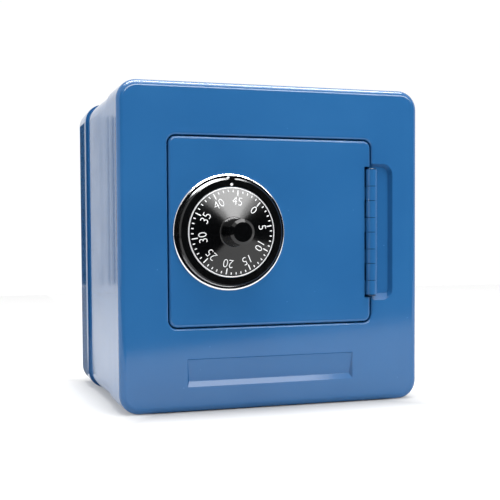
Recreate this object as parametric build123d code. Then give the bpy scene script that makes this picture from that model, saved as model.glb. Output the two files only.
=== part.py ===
from build123d import *
import math
import os

# A small safe made as a coin bank: three painted sheet-metal shells, a hinged front door,
# and a three-wheel combination lock worked by a numbered dial.
# Millimetres. +Z is up, +X is to the right seen from the front, and the door faces -Y.
# The origin is on the table, under the middle of the whole object's outline, knob included.

os.makedirs("parts", exist_ok=True)

# ---- case shells -------------------------------------------------------------------------
case_width = 128.0
case_height = 130.0
case_depth = 100.0
case_sheet = 0.9            # front and back pans
sleeve_sheet = 0.8
corner_r = 8.0              # outer corners of both pans, seen from the front
front_edge_r = 2.6          # rounding where the front face turns into its rim
back_edge_r = 3.2
front_pan_depth = 23.4
back_pan_depth = 24.0
back_mouth = 4.0            # straight part of the back pan, where it grips the sleeve
back_draft = 1.6            # degrees that its walls lean in behind that
sleeve_front_inset = 4.5    # how far behind the front pan's face the sleeve starts
sleeve_in_mouth = 3.6       # how far the sleeve reaches into the back pan

# ---- coin slot in the roof ---------------------------------------------------------------
slot_length = 38.0
slot_width = 4.8
slot_lip = 3.0              # turned-down edge inside the slot

# ---- door and its opening ----------------------------------------------------------------
door_width = 86.2
door_height = 75.0
door_x = -1.0               # door centre, from the case's middle
door_up = 6.1               # door centre above the case's middle
door_sheet = 0.9
door_depth = 5.0            # turned-back edge of the door
door_corner_r = 3.1
door_edge_r = 1.0
door_gap = 0.5              # all round, between the door and the jamb
jamb_edge_r = 0.8
stop_gap = 0.3              # between the shut door's edge and the stop behind it

# ---- stop frame and strike behind the opening --------------------------------------------
stop_sheet = 0.9
stop_lip = 2.5              # how far the stop shows inside the opening
stop_reach = 7.0            # how far it reaches outside the opening
stop_short = 8.9            # the stop is a U that ends this far left of the hinge pin
strike_sheet = 1.6
strike_height = 10.0
strike_shoulder = 4.1       # the strike's wide part ends this far left of the lock cover
strike_rivet_pitch = 6.0
rivet_r = 1.0
rivet_head_r = 1.8
rivet_head_t = 0.7

# ---- hinge -------------------------------------------------------------------------------
pin_r = 1.4
pin_fit = 0.06              # radial running clearance of the pin
leaf_sheet = 0.9
hinge_past = 0.2            # pin centre beyond the door's right edge
hinge_down = 0.3            # middle of the hinge below the door's middle
knuckle_frame = 7.0         # height of a frame knuckle
knuckle_door = 6.0
knuckle_pairs = 4
knuckle_gap = 0.25
leaf_width_door = 18.0
leaf_notch = 0.3            # clearance between a leaf and the other leaf's knuckles
pin_head_r = 2.0
pin_head_t = 0.5
door_notch_gap = 0.54       # between the barrel and the door's cut-out
door_notch_end = 1.1        # the cut-out past each end of the barrel

# ---- pocket pressed into the front beside the hinge --------------------------------------
pocket_beside = 10.0        # from the pin's centre to the pocket's right edge
pocket_above = 2.4          # pocket past the barrel's top and bottom, at the face
pocket_depth = 2.4
pocket_slope = 1.0          # how far its walls lean over their depth
pocket_sill = 2.8           # the same for its bottom wall, a long ramp
pocket_corner_r = 4.6
barrel_room = 0.7           # the cut through the pocket, past each end of the barrel

# ---- wedge panel pressed into the front below the door -----------------------------------
wedge_width = 71.0
wedge_x = -1.6
wedge_below = 12.0          # from the door opening down to the panel's top
wedge_height = 11.1
wedge_ledge = 2.1           # height of the sloping ledge along its bottom
wedge_depth = 1.5
wedge_step = 0.35           # small step along the panel's top
wedge_corner_r = 1.5
wedge_end_slope = 1.0
ledge_r = 0.45              # rounding along the ledge's deep and front edges

# ---- dial, bezel and trim ring -----------------------------------------------------------
ring_r = 23.2
ring_t = 1.0
ring_from_edge = 1.4        # door's left edge to the trim ring
dial_down = 0.2             # dial's axis below the door's middle
ring_show = 1.6             # width of the ring that shows round the bezel
ring_tuck = 0.3             # ring's hole outside the bezel's bore
bezel_width = 3.4
bezel_draft = 0.3           # lean of the bezel's outer wall
bezel_edge = 0.6            # bevel round its front
bezel_front = 3.5           # front of the bezel, out from the door's face
index_width = 3.4
index_length = 2.4          # pointer's reach in from the bezel's edge
index_out = 0.5             # and past it
index_rise = 0.4
peg_r = 1.2
peg_count = 4
peg_head_r = 1.7
peg_head_t = 0.8
peg_room = 0.9              # between a peg's head and the lock cover's wall
dial_fit = 0.3              # between the dial's rim and the bezel's bore
dial_back = 1.3
dial_rim = 3.35
rim_bevel = 0.35
cone_top = 6.0
knob_foot_r = 5.5
knob_foot_fillet = 0.8
knob_tip_r = 4.9
knob_flat_r = 3.8
knob_bevel = 0.8
dial_proud = 17.3           # knob's flat end, out from the door's face

# ---- spindle, bush and wheel pack --------------------------------------------------------
spindle_r = 2.0
spindle_fit = 0.05
spindle_in_knob = 12.0      # how far out from the door's face the spindle reaches
bush_r = 4.0
bush_head_r = 6.5
bush_head_t = 1.0
washer_r = 6.2
washer_t = 0.2
nut_flats = 12.0
nut_t = 2.5
collar_r = 5.6
wheel_r = 14.5
wheel_t = 1.5
wheel_fit = 0.05            # radial running clearance on the bush
wheel_gap = 1.6             # between two wheels
spacer_side = 0.2           # clearance each side of a spacer
strike_clear = 0.5          # between the strike and the first wheel
gate_width = 5.0
gate_past = 2.0             # gate deeper than the strike's nose reaches
nose_height = 4.0
nose_bite = 4.0             # how far the nose reaches in from the wheels' edge
pip_r = 0.8
pip_side = 0.5              # between a pip and the spacer inside it
pip_height = 1.2
pip_third_wheel = 60.0      # angles seen from the front, counter-clockwise from the right
pip_second_front = -100.0
pip_second_back = 140.0
pip_drive = -30.0
clip_t = 0.8
clip_r = 4.0
clip_groove_r = 1.6
spindle_tail = 0.5

# ---- lock cover --------------------------------------------------------------------------
cover_sheet = 0.8
wheel_room = 2.2            # round the wheels, inside the cover
cover_end_gap = 0.5         # behind the spindle's tail
cover_flange = 6.0
cover_slot = 6.0            # height of the slot that the strike passes through
cover_slot_past = 2.6       # slot past the nose's tip
stud_r = 1.5
stud_length = 5.5
stud_side = 12.0
stud_nut_flats = 5.5
stud_nut_t = 2.4

# ---- places worked out from the sizes above ----------------------------------------------
knob_tip_y = -(case_depth + dial_proud) / 2
face_y = knob_tip_y + dial_proud
back_y = face_y + case_depth
door_z = case_height / 2 + door_up
hinge_x = door_x + door_width / 2 + hinge_past
bore_r = pin_r + pin_fit
barrel_r = bore_r + leaf_sheet
hinge_y = face_y + door_sheet - bore_r
hinge_height = knuckle_pairs * (knuckle_frame + knuckle_door)
hinge_bottom = door_z - hinge_down - hinge_height / 2
hinge_top = hinge_bottom + hinge_height
open_width = door_width + 2 * door_gap
open_height = door_height + 2 * door_gap
open_corner_r = door_corner_r + door_gap
pocket_right = hinge_x + pocket_beside
wedge_top = door_z - open_height / 2 - wedge_below
wedge_bottom = wedge_top - wedge_height
wedge_deep_z = wedge_bottom + wedge_ledge
dial_x = door_x - door_width / 2 + ring_from_edge + ring_r
dial_z = door_z - dial_down
bezel_base_r = ring_r - ring_show
bezel_bore_r = bezel_base_r - bezel_width
ring_inner_r = bezel_bore_r + ring_tuck
peg_circle_r = (bezel_bore_r + bezel_base_r) / 2
peg_reach = peg_circle_r * math.cos(math.radians(45)) + peg_head_r
cover_half = cover_sheet + max(wheel_r + wheel_room, peg_reach + peg_room)
nose_tip_r = wheel_r - nose_bite
gate_floor_r = nose_tip_r - gate_past
pip_circle_r = collar_r + pip_side + pip_r
stop_right_end = hinge_x - stop_short
strike_body_end = dial_x - cover_half - strike_shoulder
stop_front = door_depth + stop_gap          # depths behind the door's face from here on
strike_front = stop_front + stop_sheet
strike_back = strike_front + strike_sheet
third_wheel_d = strike_back + strike_clear
second_wheel_d = third_wheel_d + wheel_t + wheel_gap
drive_wheel_d = second_wheel_d + wheel_t + wheel_gap
drive_wheel_end = drive_wheel_d + wheel_t
bush_end = drive_wheel_d - spacer_side
spindle_end = drive_wheel_end + clip_t + spindle_tail
cover_end = spindle_end + cover_end_gap + cover_sheet
dial_r = bezel_bore_r - dial_fit
leg_left = hinge_x + bore_r
leg_right = hinge_x + barrel_r
pocket_floor_left = leg_right + 0.1


def at_depth(depth):
    # Plane facing the viewer, this far behind the face: local x is X and local y is Z.
    return Plane(origin=(0, face_y + depth, 0), x_dir=(1, 0, 0), z_dir=(0, -1, 0))


def slab(sketch, front, back):
    # Solid with the sketch's outline between two depths behind the face.
    return extrude(at_depth(front) * sketch, amount=front - back)


def block(left, right, front, back, bottom, top):
    # Box given by its X limits, its depths behind the face and its Z limits.
    middle = Pos((left + right) / 2, (bottom + top) / 2)
    return slab(middle * Rectangle(right - left, top - bottom), front, back)


def rounded(width, height, radius, x=0.0, z=0.0):
    return Pos(x, z) * RectangleRounded(width, height, radius)


def edges_at(part, depth):
    y = face_y + depth
    return part.edges().filter_by_position(Axis.Y, y - 0.001, y + 0.001)


def on_dial_axis(part):
    # From a local frame whose +Z is the dial's axis, outwards from the door's face.
    return Pos(dial_x, face_y, dial_z) * Rot(90, 0, 0) * part


def turned(points):
    # Solid of revolution about the local Z axis from (radius, height) points.
    outline = Plane.XZ * make_face(Polyline(*points, close=True))
    return revolve(outline, Axis.Z)


def disc(radius, low, high):
    return Pos(0, 0, low) * Cylinder(radius, high - low, align=(Align.CENTER, Align.CENTER, Align.MIN))


def case_outline(inset):
    # Rounded outline of the case, this far inside the pans' outer skin.
    width = case_width - 2 * inset
    height = case_height - 2 * inset
    return rounded(width, height, corner_r - inset, 0, case_height / 2)


def wedge_solid(grow):
    # The wedge-shaped hollow; grow makes the larger solid whose skin is the sheet behind it.
    top = wedge_top + 1.5 * grow
    low = wedge_bottom - 1.5 * grow
    outline = Polyline(
        (face_y - 1 + grow, top),
        (face_y + 0.9 * grow, top),
        (face_y + wedge_step + 0.9 * grow, top - wedge_step),
        (face_y + wedge_depth + grow, wedge_deep_z),
        (face_y + 0.9 * grow, low),
        (face_y - 1 + grow, low),
        close=True,
    )
    length = wedge_width + 4
    left_end = Plane(origin=(wedge_x - length / 2, 0, 0), x_dir=(0, 1, 0), z_dir=(1, 0, 0))
    prism = extrude(left_end * make_face(outline), amount=length)
    height = wedge_top - wedge_bottom + 2.6 * grow + 2 * wedge_corner_r
    middle_z = (wedge_top + wedge_bottom) / 2 + wedge_corner_r / 2
    frame = rounded(wedge_width + 2 * grow, height, wedge_corner_r + grow, wedge_x, middle_z)
    lean = math.degrees(math.atan(wedge_end_slope / wedge_depth))
    ends = extrude(at_depth(0) * frame, amount=-(wedge_depth + grow), taper=lean)
    hollow = prism & ends
    deepest = [edge for edge in edges_at(hollow, wedge_depth + grow) if edge.length > wedge_width / 2]
    return fillet(deepest, ledge_r)


def pocket_solid(grow):
    # The hinge pocket; its left side runs out into the door opening and its bottom is a ramp.
    left = hinge_x - 8
    right = pocket_right + grow
    height = hinge_height + 2 * pocket_above + 2 * grow
    middle = (hinge_bottom + hinge_top) / 2
    outline = rounded(right - left, height, pocket_corner_r + grow, (left + right) / 2, middle)
    lean = math.degrees(math.atan(pocket_slope / pocket_depth))
    hollow = extrude(at_depth(0) * outline, amount=-(pocket_depth + grow), taper=lean)
    climb = pocket_sill / pocket_depth
    low = hinge_bottom - pocket_above - grow * math.hypot(1, climb)
    deep = pocket_depth + grow + 1
    above_ramp = Polyline(
        (face_y - 1, low - climb),
        (face_y + deep, low + climb * deep),
        (face_y + deep, case_height),
        (face_y - 1, case_height),
        close=True,
    )
    start = Plane(origin=(left - 1, 0, 0), x_dir=(0, 1, 0), z_dir=(1, 0, 0))
    return hollow & extrude(start * make_face(above_ramp), amount=right - left + 2)


def opening_outline(grow):
    width = open_width + 2 * grow
    height = open_height + 2 * grow
    return rounded(width, height, open_corner_r + max(grow, -2.0), door_x, door_z)


def make_front_pan():
    pan = slab(case_outline(0), 0, front_pan_depth)
    pan = fillet(edges_at(pan, 0), front_edge_r)
    hollow = slab(case_outline(case_sheet), case_sheet, front_pan_depth)
    hollow = fillet(edges_at(hollow, case_sheet), front_edge_r - case_sheet)
    pan -= hollow
    pan += wedge_solid(case_sheet) & slab(case_outline(2), case_sheet / 2, front_pan_depth)
    pan += pocket_solid(case_sheet)
    pan += slab(opening_outline(case_sheet), case_sheet / 2, stop_front)
    pan -= slab(opening_outline(0), -1, front_pan_depth)
    rim = [edge for edge in edges_at(pan, 0) if edge.center().Z > wedge_top + 2]
    half = open_width / 2 + 0.1
    pan = fillet([edge for edge in rim if abs(edge.center().X - door_x) < half], jamb_edge_r)
    pan -= pocket_solid(0)
    pan -= wedge_solid(0)
    low = hinge_bottom - barrel_room
    pan -= block(hinge_x - 3, pocket_floor_left, -1, stop_front + 1, low, hinge_top + barrel_room)
    return pan


def make_body_sleeve():
    start = sleeve_front_inset
    end = case_depth - back_pan_depth + sleeve_in_mouth
    sleeve = slab(case_outline(case_sheet), start, end)
    sleeve -= slab(case_outline(case_sheet + sleeve_sheet), start, end)
    roof = case_height - case_sheet
    slot_y = (face_y + back_y) / 2
    rounding = slot_width / 2 - 0.01
    slot_outline = RectangleRounded(slot_length, slot_width, rounding)
    lip_outline = offset(slot_outline, sleeve_sheet)
    sleeve += Pos(0, slot_y, roof) * extrude(lip_outline, amount=-(slot_lip + sleeve_sheet))
    return sleeve - Pos(0, slot_y, roof + 1) * extrude(slot_outline, amount=-20)


def drawn_back(inset, radius):
    # Solid inside the back pan's skin: a straight mouth, then walls that lean in to the back.
    mouth_front = case_depth - back_pan_depth
    mouth_end = mouth_front + back_mouth
    end = case_depth - inset
    body = slab(case_outline(inset), mouth_front, mouth_end)
    body += extrude(at_depth(mouth_end) * case_outline(inset), amount=mouth_end - end, taper=back_draft)
    return fillet(edges_at(body, end), radius)


def make_back_pan():
    return drawn_back(0, back_edge_r) - drawn_back(case_sheet, back_edge_r - case_sheet)


def make_door_stop():
    # U-shaped channel welded behind the front: the shut door's edge rests just ahead of its web.
    outside = opening_outline(stop_reach)
    stop = slab(outside - opening_outline(-stop_lip), stop_front, strike_front)
    stop += slab(outside - opening_outline(stop_reach - stop_sheet), case_sheet, stop_front)
    stop -= block(stop_right_end, case_width, 0, strike_back, 0, case_height)
    for z in rivet_heights():
        stop -= slab(Pos(rivet_x(), z) * Circle(rivet_r), 0, strike_back)
    return stop


def rivet_x():
    return door_x - open_width / 2 - stop_reach / 2 + 0.6


def rivet_heights():
    return [dial_z - strike_rivet_pitch / 2, dial_z + strike_rivet_pitch / 2]


def make_strike_tab():
    left = door_x - open_width / 2 - stop_reach + stop_sheet
    tip = dial_x - nose_tip_r
    wide = strike_height / 2
    narrow = nose_height / 2
    tab = block(left, strike_body_end, strike_front, strike_back, dial_z - wide, dial_z + wide)
    tab += block(strike_body_end, tip, strike_front, strike_back, dial_z - narrow, dial_z + narrow)
    tab = fillet(tab.edges().filter_by(Axis.Y), 0.8)
    for z in rivet_heights():
        tab -= slab(Pos(rivet_x(), z) * Circle(rivet_r), strike_front, strike_back)
    return tab


def make_strike_rivets():
    rivets = []
    for z in rivet_heights():
        place = Pos(rivet_x(), z)
        rivet = slab(place * Circle(rivet_r), stop_front - rivet_head_t, strike_back + rivet_head_t)
        head = slab(place * Circle(rivet_head_r), strike_back, strike_back + rivet_head_t)
        rivet += fillet(edges_at(head, strike_back + rivet_head_t), 0.4)
        rivet += slab(place * Circle(rivet_head_r - 0.2), stop_front - rivet_head_t, stop_front)
        rivets.append(rivet)
    return rivets


def knuckles(first, height, pitch):
    # Rings round the pin; the first one starts at this height.
    rings = []
    for n in range(knuckle_pairs):
        low = first + n * pitch + knuckle_gap / 2
        ring = Cylinder(barrel_r, height - knuckle_gap) - Cylinder(bore_r, height)
        rings.append((low, Pos(hinge_x, hinge_y, low + (height - knuckle_gap) / 2) * ring))
    return rings


def make_hinge_frame_leaf():
    # From each knuckle a leg runs straight back, then the leaf turns to lie behind the pocket.
    pitch = knuckle_frame + knuckle_door
    legs_end = hinge_y - face_y + barrel_r + leaf_notch
    behind = pocket_depth + case_sheet
    low = hinge_bottom
    leaf = block(leg_left, leg_right, legs_end, behind + leaf_sheet, low, hinge_top)
    leaf += block(leg_left, pocket_right - pocket_slope - 0.6, behind, behind + leaf_sheet, low, hinge_top)
    for start, ring in knuckles(hinge_bottom + knuckle_door, knuckle_frame, pitch):
        leaf += ring
        top = start + knuckle_frame - knuckle_gap
        leaf += block(leg_left, leg_right, hinge_y - face_y, legs_end, start, top)
    return leaf


def make_hinge_door_leaf():
    # The leaf lies flat on the back of the door's skin and its knuckles wrap the pin.
    pitch = knuckle_frame + knuckle_door
    root = hinge_x - barrel_r - leaf_notch
    front = door_sheet
    back = door_sheet + leaf_sheet
    leaf = block(hinge_x - leaf_width_door, root, front, back, hinge_bottom, hinge_top)
    for start, ring in knuckles(hinge_bottom, knuckle_door, pitch):
        leaf += ring
        leaf += block(root, hinge_x, front, back, start, start + knuckle_door - knuckle_gap)
    return leaf


def make_hinge_pin():
    pin = Pos(hinge_x, hinge_y, hinge_bottom) * disc(pin_r, 0, hinge_height)
    head = Cylinder(pin_head_r, pin_head_t)
    top = hinge_top - knuckle_gap / 2
    low = hinge_bottom - pin_head_t
    pin += Pos(hinge_x, hinge_y, top + pin_head_t / 2) * fillet(head.edges().group_by(Axis.Z)[-1], 0.3)
    pin += Pos(hinge_x, hinge_y, low + pin_head_t / 2) * fillet(head.edges().group_by(Axis.Z)[0], 0.3)
    return pin


def make_door_panel():
    door = slab(rounded(door_width, door_height, door_corner_r, door_x, door_z), 0, door_depth)
    door = fillet(edges_at(door, 0), door_edge_r)
    inner_width = door_width - 2 * door_sheet
    inner_height = door_height - 2 * door_sheet
    inner = rounded(inner_width, inner_height, door_corner_r - door_sheet, door_x, door_z)
    door -= slab(inner, door_sheet, door_depth)
    edge = hinge_x - barrel_r - door_notch_gap
    low = hinge_bottom - door_notch_end
    door -= block(edge, case_width / 2, -1, door_depth, low, hinge_top + door_notch_end)
    door -= on_dial_axis(disc(bush_r, -door_sheet - 1, 1))
    for peg in peg_places():
        door -= on_dial_axis(peg * disc(peg_r, -door_sheet - 1, 1))
    return door


def peg_places():
    return PolarLocations(peg_circle_r, peg_count, start_angle=45)


def make_dial_ring():
    ring = disc(ring_r, 0, ring_t)
    ring = fillet(ring.edges().group_by(Axis.Z)[-1], ring_t * 0.8)
    ring -= disc(ring_inner_r, -1, ring_t + 1)
    for peg in peg_places():
        ring -= peg * disc(peg_r, -1, ring_t + 1)
    return on_dial_axis(ring)


def make_dial_bezel():
    # Flat black collar with a small raised pointer at the top; its pegs are staked behind the skin.
    bezel = turned([
        (bezel_bore_r, ring_t),
        (bezel_base_r, ring_t),
        (bezel_base_r - bezel_draft, bezel_front - bezel_edge),
        (bezel_base_r - bezel_draft - bezel_edge, bezel_front),
        (bezel_bore_r, bezel_front),
    ])
    half = index_width / 2
    shoulder = bezel_base_r - index_out
    plan = Polyline(
        (-half / 2, bezel_base_r - index_length),
        (half / 2, bezel_base_r - index_length),
        (half, shoulder),
        (half / 2, bezel_base_r + index_out),
        (-half / 2, bezel_base_r + index_out),
        (-half, shoulder),
        close=True,
    )
    bezel += Pos(0, 0, ring_t) * extrude(make_face(plan), amount=bezel_front + index_rise - ring_t, taper=7)
    for peg in peg_places():
        bezel += peg * disc(peg_r, -door_sheet, ring_t + 0.3)
        bezel += peg * disc(peg_head_r, -door_sheet - peg_head_t, -door_sheet)
    return on_dial_axis(bezel)


def make_dial():
    # Number dial and knob, one moulding.
    body = turned([
        (0, dial_back),
        (dial_r, dial_back),
        (dial_r, dial_rim - rim_bevel),
        (dial_r - rim_bevel, dial_rim),
        (knob_foot_r, cone_top),
        (knob_tip_r, dial_proud - knob_bevel),
        (knob_flat_r, dial_proud),
        (0, dial_proud),
    ])
    at_foot = [edge for edge in body.edges() if abs(edge.center().Z - cone_top) < 0.01]
    body = fillet([edge for edge in at_foot if edge.geom_type == GeomType.CIRCLE], knob_foot_fillet)
    body -= disc(spindle_r, 0, spindle_in_knob)
    return on_dial_axis(body)


def make_spindle():
    rod = disc(spindle_r, -spindle_end, spindle_in_knob)
    groove = disc(spindle_r + 1, -drive_wheel_end - clip_t, -drive_wheel_end)
    return on_dial_axis(rod - (groove - disc(clip_groove_r, -spindle_end, 0)))


def make_spindle_bush():
    bush = disc(bush_r, -bush_end, 0) + disc(bush_head_r, 0, bush_head_t)
    bush -= disc(spindle_r + spindle_fit, -bush_end - 1, bush_head_t + 1)
    return on_dial_axis(bush)


def make_friction_washer():
    washer = disc(washer_r, bush_head_t, bush_head_t + washer_t) - disc(bush_r, 0, dial_back)
    return on_dial_axis(washer)


def make_bush_nut():
    start = -door_sheet - nut_t
    hexagon = RegularPolygon(nut_flats / 2, 6, major_radius=False)
    nut = Pos(0, 0, start) * extrude(hexagon, amount=nut_t)
    return on_dial_axis(nut - disc(bush_r, start - 1, 0))


def make_stack_collar():
    front = -door_sheet - nut_t
    back = -third_wheel_d + spacer_side
    return on_dial_axis(disc(collar_r, back, front) - disc(bush_r, back - 1, front + 1))


def make_wheel_spacers():
    spacers = []
    for start in (third_wheel_d + wheel_t, second_wheel_d + wheel_t):
        front = -start - spacer_side
        back = -start - wheel_gap + spacer_side
        spacers.append(on_dial_axis(disc(collar_r, back, front) - disc(bush_r, back - 1, front + 1)))
    return spacers


def pip(angle, low, high):
    x = pip_circle_r * math.cos(math.radians(angle))
    y = pip_circle_r * math.sin(math.radians(angle))
    return Pos(x, y, 0) * disc(pip_r, low, high)


def wheel(start, bore, front_pip, back_pip):
    # Notched disc; start is the depth of its front face and the gate faces the strike.
    body = disc(wheel_r, -start - wheel_t, -start) - disc(bore, -start - wheel_t - 1, -start + 1)
    gate_length = wheel_r + 1 - gate_floor_r
    gate = Pos(-gate_floor_r - gate_length / 2, 0, -start) * Box(gate_length, gate_width, 4 * wheel_t)
    body -= gate
    if front_pip is not None:
        body += pip(front_pip, -start, -start + pip_height)
    if back_pip is not None:
        body += pip(back_pip, -start - wheel_t - pip_height, -start - wheel_t)
    return on_dial_axis(body)


def make_retaining_clip():
    low = -drive_wheel_end - clip_t
    clip = disc(clip_r, low, low + clip_t) - disc(clip_groove_r, low - 1, low + clip_t + 1)
    clip -= Pos(0, -clip_r, low) * Box(2 * clip_groove_r - 0.4, 2 * clip_r, 4)
    return on_dial_axis(clip)


def make_lock_cover():
    # Drawn box over the wheels, with a slot so that the strike can leave it as the door opens.
    inner_half = cover_half - cover_sheet
    outer = rounded(2 * cover_half, 2 * cover_half, 3.0, dial_x, dial_z)
    inner = rounded(2 * inner_half, 2 * inner_half, 2.2, dial_x, dial_z)
    cover = slab(outer, door_sheet, cover_end)
    cover = fillet(edges_at(cover, cover_end), 1.6)
    flange = rounded(2 * cover_half, 2 * (cover_half + cover_flange), 2.0, dial_x, dial_z)
    cover += slab(flange, door_sheet, door_sheet + cover_sheet)
    cover -= slab(inner, door_sheet, cover_end - cover_sheet)
    slot_end = dial_x - nose_tip_r + cover_slot_past
    low = dial_z - cover_slot / 2
    high = dial_z + cover_slot / 2
    cover -= block(dial_x - cover_half - 1, slot_end, strike_front - 0.6, cover_end + 1, low, high)
    for place in stud_places():
        cover -= on_dial_axis(place * disc(stud_r, -cover_end, 0))
    return cover


def stud_places():
    height = cover_half + cover_flange / 2
    return [Pos(x, z, 0) for x in (-stud_side, stud_side) for z in (-height, height)]


def make_cover_studs():
    stud = disc(stud_r, -door_sheet - stud_length, -door_sheet)
    return [on_dial_axis(place * stud) for place in stud_places()]


def make_cover_nuts():
    start = -door_sheet - cover_sheet - stud_nut_t
    hexagon = RegularPolygon(stud_nut_flats / 2, 6, major_radius=False)
    nut = Pos(0, 0, start) * extrude(hexagon, amount=stud_nut_t) - disc(stud_r, start - 1, 0)
    return [on_dial_axis(place * nut) for place in stud_places()]


pieces = {
    "front_pan": make_front_pan(),
    "body_sleeve": make_body_sleeve(),
    "back_pan": make_back_pan(),
    "door_stop": make_door_stop(),
    "strike_tab": make_strike_tab(),
    "strike_rivets": make_strike_rivets(),
    "hinge_frame_leaf": make_hinge_frame_leaf(),
    "hinge_pin": make_hinge_pin(),
    "door_panel": make_door_panel(),
    "hinge_door_leaf": make_hinge_door_leaf(),
    "dial_ring": make_dial_ring(),
    "dial_bezel": make_dial_bezel(),
    "spindle_bush": make_spindle_bush(),
    "friction_washer": make_friction_washer(),
    "bush_nut": make_bush_nut(),
    "stack_collar": make_stack_collar(),
    "wheel_spacers": make_wheel_spacers(),
    "lock_cover": make_lock_cover(),
    "cover_studs": make_cover_studs(),
    "cover_nuts": make_cover_nuts(),
    "dial": make_dial(),
    "spindle": make_spindle(),
    "drive_wheel": wheel(drive_wheel_d, spindle_r, pip_drive, None),
    "retaining_clip": make_retaining_clip(),
    "second_wheel": wheel(second_wheel_d, bush_r + wheel_fit, pip_second_front, pip_second_back),
    "third_wheel": wheel(third_wheel_d, bush_r + wheel_fit, None, pip_third_wheel),
}

for name, piece in pieces.items():
    if isinstance(piece, list):
        piece = Compound(children=piece)
    export_step(piece, "parts/" + name + ".step")
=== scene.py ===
# A small safe made as a coin bank: three enamelled sheet shells, a hinged door and a combination lock
# behind a black number dial. Lengths named here are in millimetres; the mesh data is in metres.
import math
import bpy
import numpy as np
from mathutils import Matrix, Vector


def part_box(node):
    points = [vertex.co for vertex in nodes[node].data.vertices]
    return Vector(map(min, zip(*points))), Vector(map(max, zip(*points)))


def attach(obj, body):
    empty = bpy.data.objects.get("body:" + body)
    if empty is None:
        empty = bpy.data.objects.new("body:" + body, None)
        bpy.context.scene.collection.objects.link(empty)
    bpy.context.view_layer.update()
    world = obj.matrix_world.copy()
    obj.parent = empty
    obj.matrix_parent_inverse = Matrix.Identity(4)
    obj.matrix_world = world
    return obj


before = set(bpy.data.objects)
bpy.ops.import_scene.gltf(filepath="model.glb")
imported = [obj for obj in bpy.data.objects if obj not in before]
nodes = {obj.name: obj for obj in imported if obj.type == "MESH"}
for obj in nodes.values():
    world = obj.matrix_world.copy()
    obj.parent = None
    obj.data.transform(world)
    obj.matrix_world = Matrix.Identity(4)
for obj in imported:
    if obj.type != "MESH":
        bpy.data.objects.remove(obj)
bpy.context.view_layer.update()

scene = bpy.context.scene

# ---- viewpoint ---------------------------------------------------------------------------------------
# The safe is seen from its left and a little above its middle, with the camera low and close enough for
# the verticals to lean in slightly. Its place is counted from the front pan's lower left corner.
pan_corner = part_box("front_pan")[0]
eye = Vector((-0.06877, -0.36126, 0.06824))
look_right, look_down, camera_roll = 18.03, 2.46, -0.35
camera_data = bpy.data.cameras.new("viewpoint")
camera_data.lens = 68.6
camera_data.shift_x, camera_data.shift_y = 0.02, 0.06
camera_data.clip_start, camera_data.clip_end = 0.02, 20
camera = bpy.data.objects.new("viewpoint", camera_data)
camera.location = Vector(pan_corner) + eye
turn = Matrix.Rotation(math.radians(-look_right), 4, "Z") @ Matrix.Rotation(math.radians(90 - look_down), 4, "X")
camera.rotation_euler = (turn @ Matrix.Rotation(math.radians(camera_roll), 4, "Z")).to_euler()
scene.collection.objects.link(camera)
scene.camera = camera
scene.view_settings.view_transform = "Standard"

# ---- table and light ---------------------------------------------------------------------------------
# A sheet of white card on a table in a white paper tent, with soft lights in front, overhead and to the
# left. The card also glows: painted light that fades out round the safe's foot, where it leaves the shade
# dark. Dark boards stand in front, beside and behind, and lie on the card, where the gloss should stay dark.
def node_tree(name):
    """New material with an empty tree: returns the material, its nodes, its links and its output."""
    material = bpy.data.materials.new(name)
    material.use_nodes = True
    tree = material.node_tree
    tree.nodes.clear()
    return material, tree.nodes, tree.links, tree.nodes.new("ShaderNodeOutputMaterial")


def add_node(made, kind, **sockets):
    """New node of a kind, with its input sockets set by name: an underscore stands for a space."""
    node = made.new("ShaderNode" + kind)
    for socket, value in sockets.items():
        node.inputs[socket.replace("_", " ")].default_value = value
    return node


def add_surface(name, points, faces, material):
    """New object in the scene from an array of points and an array of faces with equal corner counts."""
    mesh = bpy.data.meshes.new(name)
    mesh.from_pydata(np.asarray(points).reshape(-1, 3).tolist(), [], np.asarray(faces).tolist())
    mesh.materials.append(material)
    surface_object = bpy.data.objects.new(name, mesh)
    scene.collection.objects.link(surface_object)
    return surface_object


def grid_faces(rows, columns, wrap=False):
    """Quads of a grid of rows x columns points, counted row by row; wrap closes the rows on themselves."""
    i, j = np.meshgrid(np.arange(rows if wrap else rows - 1), np.arange(columns - 1), indexing="ij")
    following = (i + 1) % rows
    corners = (i * columns + j, following * columns + j, following * columns + j + 1, i * columns + j + 1)
    return np.stack([c.ravel() for c in corners], axis=1)


def stage_card(name, corners, material):
    """Flat four-sided card with its corners in order round it. It is no part of the safe."""
    card = add_surface(name, corners, [(0, 1, 2, 3)], material)
    return card


white_card, made, joined, out = node_tree("white_card")
card_paper = add_node(made, "BsdfPrincipled", Base_Color=(0.42, 0.42, 0.42, 1), Roughness=0.75,
                      Emission_Color=(1, 1, 1, 1))
card_place = add_node(made, "TexCoord")
either_side = add_node(made, "VectorMath")
either_side.operation = "ABSOLUTE"
joined.new(card_place.outputs["Object"], either_side.inputs[0])
foot_half_width, foot_half_depth = 0.064, 0.0586
from_foot = add_node(made, "VectorMath")
from_foot.operation = "SUBTRACT"
from_foot.inputs[1].default_value = (foot_half_width, foot_half_depth, 0)
joined.new(either_side.outputs["Vector"], from_foot.inputs[0])
foot_axes = add_node(made, "SeparateXYZ")
joined.new(from_foot.outputs["Vector"], foot_axes.inputs["Vector"])
clear_of_foot = add_node(made, "Math")
clear_of_foot.operation = "MAXIMUM"
joined.new(foot_axes.outputs["X"], clear_of_foot.inputs[0])
joined.new(foot_axes.outputs["Y"], clear_of_foot.inputs[1])
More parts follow.
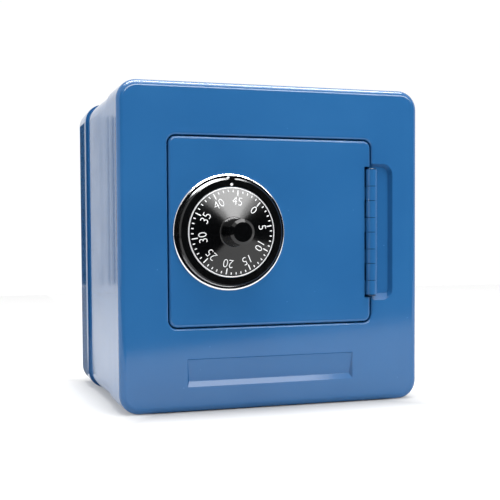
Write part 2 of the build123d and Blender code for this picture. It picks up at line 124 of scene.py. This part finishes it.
# Painted light: the card's glow is nil from 16 mm inside the foot's outline and full 12 mm outside it, so the
# floor reads white away from the safe while the shade at the foot stays dark.
painted_card_glow = add_node(made, "MapRange", From_Min=-0.016, From_Max=0.012, To_Min=0.0, To_Max=0.64)
joined.new(clear_of_foot.outputs["Value"], painted_card_glow.inputs["Value"])
joined.new(painted_card_glow.outputs["Result"], card_paper.inputs["Emission Strength"])
fibre = add_node(made, "TexNoise", Scale=900)
fibre_bump = add_node(made, "Bump", Strength=0.06, Distance=0.0002)
joined.new(fibre.outputs["Fac"], fibre_bump.inputs["Height"])
joined.new(fibre_bump.outputs["Normal"], card_paper.inputs["Normal"])
joined.new(card_paper.outputs["BSDF"], out.inputs["Surface"])
card_half = 0.8
stage_card("table_card", [(-card_half, -card_half, 0), (card_half, -card_half, 0), (card_half, card_half, 0),
                          (-card_half, card_half, 0)], white_card)

room = bpy.data.worlds.new("room")
scene.world = room
room.use_nodes = True
room.node_tree.nodes["Background"].inputs["Color"].default_value = (1.0, 1.0, 1.0, 1)
room.node_tree.nodes["Background"].inputs["Strength"].default_value = 0.12

paper_white, made, joined, out = node_tree("paper_white")
paper_glow = add_node(made, "Emission", Color=(1, 1, 1, 1), Strength=1.02)
joined.new(paper_glow.outputs["Emission"], out.inputs["Surface"])
tent_r, tent_steps, tent_rings = 3.0, 48, 25
tent_turn = np.linspace(0, 2 * np.pi, tent_steps, endpoint=False)[:, None]
tent_rise = np.linspace(-0.5 * np.pi, 0.5 * np.pi, tent_rings)[None, :]
tent_points = tent_r * np.stack([np.cos(tent_turn) * np.cos(tent_rise), np.sin(tent_turn) * np.cos(tent_rise),
                                 np.sin(tent_rise) * np.ones_like(tent_turn)], axis=-1)
paper_tent = add_surface("paper_tent", tent_points, grid_faces(tent_steps, tent_rings, wrap=True)[:, ::-1],
                         paper_white)
paper_tent.visible_diffuse = False
paper_tent.visible_shadow = False

board_black = (0.004, 0.004, 0.005, 1)
dark_board, made, joined, out = node_tree("dark_board")
cloth = add_node(made, "BsdfDiffuse", Color=board_black)
joined.new(cloth.outputs["BSDF"], out.inputs["Surface"])
dark_gauze, made, joined, out = node_tree("dark_gauze")
weave = add_node(made, "MixShader", Fac=0.8)
joined.new(add_node(made, "BsdfTransparent").outputs["BSDF"], weave.inputs[1])
thread = add_node(made, "BsdfDiffuse", Color=board_black)
joined.new(thread.outputs["BSDF"], weave.inputs[2])
joined.new(weave.outputs["Shader"], out.inputs["Surface"])


def soft_light(name, edge, facing, tilt, width, height, radiance):
    """Rectangular soft light given by the middle of its lower edge. It faces along the compass angle
    facing (0 looks to +Y, 90 to +X) and leans back over by tilt; power is radiance x pi x area."""
    light = bpy.data.lights.new(name, "AREA")
    light.shape = "RECTANGLE"
    light.size, light.size_y = width, height
    light.energy = radiance * math.pi * width * height
    lamp = bpy.data.objects.new(name, light)
    spin = Matrix.Rotation(math.radians(-facing), 4, "Z") @ Matrix.Rotation(math.radians(90 - tilt), 4, "X")
    middle = spin @ Vector((0, height / 2, 0))
    lamp.matrix_world = Matrix.Translation(Vector(edge) + middle) @ spin
    lamp.visible_camera = False
    scene.collection.objects.link(lamp)
    return lamp


soft_light("front_soft_light", (0.26, -0.80, 0.372), -8, 25, 0.90, 0.05, 4.5)
soft_light("front_strip_light", (0.267, -0.779, 0.417), -8, 28, 0.90, 0.12, 13.0)
soft_light("overhead_light", (0.05, -0.52, 0.80), 0, 90, 0.7, 0.74, 5.6)
edge_strip = soft_light("edge_strip", (0.05, -0.15, 0.78), 0, 90, 0.9, 0.10, 32.0)
edge_strip.visible_diffuse = False
left_fill = soft_light("left_fill", (-1.05, 0.45, 0.05), 90, 0, 1.1, 0.9, 2.8)
left_fill.visible_glossy = False


def standing(start, end, top):
    """Corners of an upright board from start to end, both (x, y), up to the height top."""
    foot = 0.002
    return [(*start, foot), (*end, foot), (*end, top), (*start, top)]


def lying(*corners):
    """Corners of a board lying just above the card, each given as (x, y)."""
    return [(x, y, 0.001) for x, y in corners]


boards = {
    "front_board": (standing((-1.6, -1.1), (1.6, -1.1), 0.72), dark_board),
    "left_board": (standing((-1.0, -0.6), (-1.0, -1.2), 0.90), dark_board),
    "right_board": (standing((1.2, -1.2), (1.2, -0.5), 0.90), dark_board),
    "back_board": (standing((-0.203, 1.0), (0.010, 1.0), 0.25), dark_board),
    "side_board": (standing((-0.350, 1.0), (-0.256, 1.0), 0.25), dark_board),
    "table_front": (lying((-0.07, -0.20), (1.20, -0.91), (1.20, -1.60), (-0.07, -1.60)), dark_board),
    "table_left": (lying((-1.20, -0.20), (-0.07, -0.20), (-0.07, -1.60), (-1.20, -1.60)), dark_board),
    "table_back": (lying((-0.070, 0.064), (-0.010, 0.064), (0.010, 1.0), (-0.203, 1.0)), dark_gauze),
}
for board_name, (board_corners, covering) in boards.items():
    card = stage_card(board_name, board_corners, covering)
    card.visible_camera = False
    card.visible_diffuse = False
    card.visible_shadow = False

# ---- shells ------------------------------------------------------------------------------------------
# Front pan, body sleeve and back pan: deep-drawn and folded steel sheet, spot welded, then sprayed with
# blue enamel and stoved. The coat has a faint orange peel, dust nibs and the slow waves of thin sheet.
def object_noise(made, joined, place, scale, detail):
    """Noise on the piece's own coordinates, or on the stretched ones of a Mapping node."""
    noise = add_node(made, "TexNoise", Scale=scale, Detail=detail)
    joined.new(place, noise.inputs["Vector"])
    return noise.outputs["Fac"]


def colour_between(made, joined, factor, low, high, at=(0.0, 1.0)):
    """Colour ramp from low to high, reaching them where the factor is at[0] and at[1]."""
    ramp = add_node(made, "ValToRGB")
    for element, position, colour in zip(ramp.color_ramp.elements, at, (low, high)):
        element.position = position
        element.color = (*colour, 1)
    joined.new(factor, ramp.inputs["Fac"])
    return ramp.outputs["Color"]


def value_between(made, joined, factor, low, high):
    """The factor, 0 to 1, made a value from low to high."""
    spread = add_node(made, "MapRange", To_Min=low, To_Max=high)
    joined.new(factor, spread.inputs["Value"])
    return spread.outputs["Result"]


def relief(made, joined, height, strength, distance, under=None):
    """Bump of the given height, lying on another bump where there is one."""
    bump = add_node(made, "Bump", Strength=strength, Distance=distance)
    joined.new(height, bump.inputs["Height"])
    if under:
        joined.new(under, bump.inputs["Normal"])
    return bump.outputs["Normal"]


def stretched(made, joined, place, scale):
    """Coordinates scaled by three numbers, so that a pattern runs long where the number is small."""
    mapping = add_node(made, "Mapping", Scale=scale)
    joined.new(place, mapping.inputs["Vector"])
    return mapping.outputs["Vector"]


def enamel(name, waves=None, wave_height=0.0, peel=0.25, shade=1.0):
    """Stoved blue enamel. Colour: a deep blue moved a few percent by a cloudy noise, with paler dust
    nibs. Gloss: smeared by a finer noise. Height: orange peel of about 1.5 mm, over slow sheet waves."""
    material, made, joined, out = node_tree(name)
    paint = add_node(made, "BsdfPrincipled", IOR=1.5)
    place = add_node(made, "TexCoord").outputs["Object"]
    clouds = object_noise(made, joined, place, 28, 5)
    deep = tuple(c * shade for c in (0.0175, 0.103, 0.272))
    light_blue = tuple(c * shade for c in (0.0215, 0.117, 0.297))
    blue = colour_between(made, joined, clouds, deep, light_blue, at=(0.3, 0.72))
    nibs = add_node(made, "TexVoronoi", Scale=150)
    joined.new(place, nibs.inputs["Vector"])
    nib_mask = add_node(made, "MapRange", From_Min=0.035, From_Max=0.02)
    joined.new(nibs.outputs["Distance"], nib_mask.inputs["Value"])
    speck = add_node(made, "MixRGB", Color2=(0.06, 0.2, 0.47, 1))
    joined.new(nib_mask.outputs["Result"], speck.inputs["Fac"])
    joined.new(blue, speck.inputs["Color1"])
    joined.new(speck.outputs["Color"], paint.inputs["Base Color"])
    smear = object_noise(made, joined, place, 60, 7)
    joined.new(value_between(made, joined, smear, 0.07, 0.13), paint.inputs["Roughness"])
    sheet_waves = None
    if waves:
        slow = object_noise(made, joined, stretched(made, joined, place, waves), 1.0, 1.0)
        sheet_waves = relief(made, joined, slow, 1.0, wave_height)
    orange_peel = object_noise(made, joined, place, 650, 1.5)
    joined.new(relief(made, joined, orange_peel, peel, 0.00003, sheet_waves), paint.inputs["Normal"])
    joined.new(paint.outputs["BSDF"], out.inputs["Surface"])
    return material


def finish_node(name, material):
    """Gives a CAD node its one material."""
    slots = nodes[name].data.materials
    slots.clear()
    slots.append(material)


pan_enamel = enamel("pan_enamel", (9, 90, 1.2), 0.0001)
finish_node("front_pan", pan_enamel)
finish_node("back_pan", pan_enamel)
finish_node("body_sleeve", enamel("sleeve_enamel", (9, 50, 1.0), 0.0001))

# ---- stop and strike ---------------------------------------------------------------------------------
# The U-shaped stop is welded behind the front and sprayed with it. The strike is a zinc-plated tongue held
# to the stop by two rivets, and its nose stands between the door's skin and the notched wheels.
def plated(name, colour=(0.60, 0.61, 0.62), scratch=(40, 900, 40), rough=(0.22, 0.4)):
    """Plated or bare rolled metal: its gloss and grain run in fine lines, and dull blooms tint it."""
    material, made, joined, out = node_tree(name)
    metal = add_node(made, "BsdfPrincipled", Metallic=1.0)
    place = add_node(made, "TexCoord").outputs["Object"]
    lines = object_noise(made, joined, stretched(made, joined, place, scratch), 6, 6)
    bloom = object_noise(made, joined, place, 90, 4)
    dull_tint = tuple(c * 0.82 for c in colour)
    clean_tint = tuple(min(c * 1.12, 1) for c in colour)
    joined.new(colour_between(made, joined, bloom, dull_tint, clean_tint), metal.inputs["Base Color"])
    joined.new(value_between(made, joined, lines, *rough), metal.inputs["Roughness"])
    joined.new(relief(made, joined, lines, 0.25, 0.00004), metal.inputs["Normal"])
    joined.new(metal.outputs["BSDF"], out.inputs["Surface"])
    return material


zinc = plated("zinc_plate")
finish_node("door_stop", enamel("inner_enamel", shade=0.9))
finish_node("strike_tab", zinc)
finish_node("strike_rivets", zinc)

# ---- hinge -------------------------------------------------------------------------------------------
# Two steel leaves rolled into knuckles round one pin with headed ends, all sprayed with the case. The
# frame leaf is fixed behind the pocket and the door leaf behind the door's skin. The pin's enamel is
# darkened to a quarter as painted shade, so the gaps between the knuckles read dark.
leaf_enamel = enamel("leaf_enamel", peel=0.35)
finish_node("hinge_frame_leaf", leaf_enamel)
finish_node("hinge_door_leaf", leaf_enamel)
# Painted shade: the pin's blue is scaled to a quarter so that it shows as dark lines in the knuckle gaps.
finish_node("hinge_pin", enamel("pin_painted_shade_enamel", shade=0.25))

# ---- door --------------------------------------------------------------------------------------------
# A shallow pan of the same steel sheet, its edge turned back all round, enamelled with the case.
finish_node("door_panel", enamel("door_enamel", (14, 40, 12), 0.0002))

# ---- dial surround -----------------------------------------------------------------------------------
# A polished chromed ring lies on the door, held down by a gloss black bezel whose four pegs are staked
# behind the skin. The bezel carries a pointer pad at its top.
finish_node("dial_ring", plated("chrome_trim", (0.86, 0.87, 0.89), (60, 60, 60), (0.03, 0.09)))


def black_gloss(name, rough, wave):
    """Polished black moulding: near-black with a trace of blue, faint flow waves and fine wiping lines."""
    material, made, joined, out = node_tree(name)
    plastic = add_node(made, "BsdfPrincipled")
    place = add_node(made, "TexCoord").outputs["Object"]
    flow = object_noise(made, joined, place, 140, 2)
    wipe = object_noise(made, joined, place, 900, 8)
    black = colour_between(made, joined, wipe, (0.0010, 0.0012, 0.0014), (0.0022, 0.0024, 0.0028))
    joined.new(black, plastic.inputs["Base Color"])
    joined.new(value_between(made, joined, wipe, *rough), plastic.inputs["Roughness"])
    joined.new(relief(made, joined, flow, 1.0, wave), plastic.inputs["Normal"])
    joined.new(plastic.outputs["BSDF"], out.inputs["Surface"])
    return material


finish_node("dial_bezel", black_gloss("bezel_black", (0.1, 0.2), 0.00006))

# ---- dial --------------------------------------------------------------------------------------------
# Number dial and knob in one black moulding. Fifty divisions, ten numbers and a silver line at the rim
# are printed on the cone, modelled as thin skins of ink lying on it, and a white dot marks the bezel.
finish_node("dial", black_gloss("dial_black", (0.07, 0.15), 0.000008))
dial_low, dial_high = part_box("dial")
dial_middle = (dial_low + dial_high) / 2
door_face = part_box("door_panel")[0].y
dial_centre = np.array([dial_middle.x, door_face, dial_middle.z])
cone_rim_r, cone_rim_out = 17.55, 3.35
cone_foot_r, cone_foot_out = 5.5, 6.0
ink_lift = 0.03


def at_dial(across, out_of_door, along):
    """Points in metres from whole arrays of millimetres right of the axis, out of the door and above
    the axis, which are first spread to one shape."""
    return np.stack(np.broadcast_arrays(across, -out_of_door, along), axis=-1) / 1000 + dial_centre


def on_cone(across, along, lift):
    """Points of the dial's face: across and along are millimetres right of and above the axis, and the
    height out of the door is the cone's own at that radius, plus lift."""
    slope = (cone_foot_out - cone_rim_out) / (cone_rim_r - cone_foot_r)
    cone_out = cone_rim_out + (cone_rim_r - np.hypot(across, along)) * slope
    return at_dial(across, cone_out + lift, along)


def ink_piece(name, points, faces, material, body):
    """A smooth surface that rides on a body, in the material it is given."""
    piece = add_surface(name, points, faces, material)
    piece.data.polygons.foreach_set("use_smooth", np.full(len(piece.data.polygons), True))
    piece.data.update()
    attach(piece, body)
    return piece


def ink(name, colour, rough, metallic=0.0):
    """Filled paint: slightly uneven cover, with a fine grain in its gloss."""
    material, made, joined, out = node_tree(name)
    paint = add_node(made, "BsdfPrincipled", Metallic=metallic)
    place = add_node(made, "TexCoord").outputs["Object"]
    grain = object_noise(made, joined, place, 1400, 4)
    thin_cover = tuple(c * 0.86 for c in colour)
    joined.new(colour_between(made, joined, grain, thin_cover, colour, at=(0.25, 0.6)), paint.inputs["Base Color"])
    joined.new(value_between(made, joined, grain, *rough), paint.inputs["Roughness"])
    joined.new(relief(made, joined, grain, 0.15, 0.00002), paint.inputs["Normal"])
    joined.new(paint.outputs["BSDF"], out.inputs["Surface"])
    return material


white_ink = ink("white_ink", (0.86, 0.87, 0.88), (0.35, 0.5))
divisions, numbered_every, turn_of_zero = 50, 5, 45
long_tick = (14.3, 16.7, 0.44)
short_tick = (15.75, 16.7, 0.42)


def ticks(numbers, inner, outer, width):
    """Round-ended strokes lying on the cone. Along a stroke u runs 0..1 and across it v runs -1..1; the
    half width is width/2 times the fourth root of 1-(2u-1)^8, so both ends close in a short curve."""
    u = np.sin(np.linspace(-np.pi / 2, np.pi / 2, 9)) / 2 + 0.5
    v = np.linspace(-1, 1, 4)
    angle = np.radians(turn_of_zero + 360 / divisions * numbers)[:, None, None]
    reach = (inner + u * (outer - inner))[None, :, None]
    side = (np.clip(1 - (2 * u - 1) ** 8, 0.02, 1) ** 0.25 * width / 2)[None, :, None] * v[None, None, :]
    across = np.sin(angle) * reach + np.cos(angle) * side
    along = np.cos(angle) * reach - np.sin(angle) * side
    faces = grid_faces(len(u), len(v))[:, ::-1][None] + (np.arange(len(numbers)) * len(u) * len(v))[:, None, None]
    return on_cone(across, along, ink_lift).reshape(-1, 3), faces.reshape(-1, 4)


every = np.arange(divisions)
is_long = every % numbered_every == 0
long_points, long_faces = ticks(every[is_long], *long_tick)
short_points, short_faces = ticks(every[~is_long], *short_tick)
dial_ticks = ink_piece("dial_ticks", np.concatenate([long_points, short_points]),
                       np.concatenate([long_faces, short_faces + len(long_points)]), white_ink, "dial")

numeral_height, numeral_circle, numeral_narrowing = 3.2, 12.4, 0.95
numeral_points, numeral_faces, counted = [], [], 0
for number in range(0, divisions, numbered_every):
    letters = bpy.data.curves.new("numeral", "FONT")
    letters.body = str(number)
    letters.resolution_u = 5
    letters.offset = -0.012
    written = bpy.data.objects.new("numeral", letters)
    scene.collection.objects.link(written)
    bpy.context.view_layer.update()
    flat = bpy.data.meshes.new_from_object(written)
    flat_points = np.zeros(len(flat.vertices) * 3)
    flat.vertices.foreach_get("co", flat_points)
    flat_points = flat_points.reshape(-1, 3)[:, :2]
    low, high = flat_points.min(0), flat_points.max(0)
    flat_points = (flat_points - (low + high) / 2) * numeral_height / (high[1] - low[1])
    angle = math.radians(turn_of_zero + 360 / divisions * number)
    reach, side = numeral_circle + flat_points[:, 1], flat_points[:, 0] * numeral_narrowing
    across = math.sin(angle) * reach + math.cos(angle) * side
    along = math.cos(angle) * reach - math.sin(angle) * side
    numeral_points.append(on_cone(across, along, ink_lift))
    numeral_faces += [tuple(i + counted for i in face.vertices) for face in flat.polygons]
    counted += len(flat_points)
    bpy.data.objects.remove(written)
    bpy.data.meshes.remove(flat)
numeral_mesh = bpy.data.meshes.new("dial_numerals")
numeral_mesh.from_pydata(np.concatenate(numeral_points).tolist(), [], numeral_faces)
numeral_mesh.materials.append(white_ink)
dial_numerals = bpy.data.objects.new("dial_numerals", numeral_mesh)
scene.collection.objects.link(dial_numerals)
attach(dial_numerals, "dial")
for thin in (dial_ticks, dial_numerals):
    skin_of_ink = thin.modifiers.new("ink_thickness", "SOLIDIFY")
    skin_of_ink.thickness = 0.00006
    skin_of_ink.offset = -1

# Silver line: a closed section of (radius, height) points, turned once about the axis.
silver = ink("silver_line", (0.83, 0.84, 0.86), (0.18, 0.28), metallic=0.25)
line_section = np.array([(17.30, 3.36), (17.34, 3.44), (17.50, 3.42), (17.66, 3.33), (17.82, 3.18), (17.86, 3.08),
                         (17.78, 3.02), (17.60, 3.10), (17.44, 3.22), (17.30, 3.36)])
line_steps = 192
line_turn = np.linspace(0, 2 * np.pi, line_steps, endpoint=False)[:, None]
line_r, line_out = line_section.T
ink_piece("dial_silver_line", at_dial(np.sin(line_turn) * line_r, line_out, np.cos(line_turn) * line_r),
          grid_faces(line_steps, len(line_section), wrap=True)[:, ::-1], silver, "dial")

# Index dot: a low dome, its height the root of 1-u^2, with its foot dot_sunk below the bezel's front.
dot_reach, dot_r, dot_rise, dot_sunk, bezel_front = 18.8, 0.66, 0.11, 0.04, 3.5
dot_steps, dot_rings = 28, 9
dot_turn = np.linspace(0, 2 * np.pi, dot_steps, endpoint=False)[:, None]
dot_u = np.linspace(0.001, 1, dot_rings)[None, :]
dot_points = at_dial(dot_r * dot_u * np.sin(dot_turn), bezel_front - dot_sunk + dot_rise * np.sqrt(1 - dot_u ** 2),
                     dot_reach + dot_r * dot_u * np.cos(dot_turn))
ink_piece("index_dot", dot_points, grid_faces(dot_steps, dot_rings, wrap=True)[:, ::-1], white_ink, "door")

# ---- spindle, bush and wheels ------------------------------------------------------------------------
# The bush is nutted through the door, the spindle turns in it, and three notched brass wheels run on
# it with a collar and spacers between. A spring clip keeps the spindle in.
finish_node("spindle_bush", plated("bush_brass", (0.78, 0.58, 0.28), (200, 30, 200), (0.2, 0.35)))
finish_node("friction_washer", plated("washer_steel", (0.62, 0.63, 0.64), (120, 120, 120)))
finish_node("bush_nut", zinc)
collar_brass = plated("collar_brass", (0.74, 0.54, 0.25), (200, 30, 200), (0.22, 0.4))
finish_node("stack_collar", collar_brass)
finish_node("wheel_spacers", collar_brass)
finish_node("spindle", plated("spindle_steel", (0.55, 0.56, 0.58), (300, 30, 300)))
wheel_brass = plated("wheel_brass", (0.72, 0.53, 0.24), (30, 30, 500), (0.25, 0.42))
for wheel in ("drive_wheel", "second_wheel", "third_wheel"):
    finish_node(wheel, wheel_brass)
finish_node("retaining_clip", plated("clip_steel", (0.45, 0.45, 0.47)))

# ---- lock cover --------------------------------------------------------------------------------------
# A drawn zinc-plated cap over the wheels, held by four studs welded to the door's skin and their nuts.
finish_node("lock_cover", plated("cover_zinc", (0.58, 0.59, 0.60), (500, 40, 30)))
finish_node("cover_studs", zinc)
finish_node("cover_nuts", zinc)
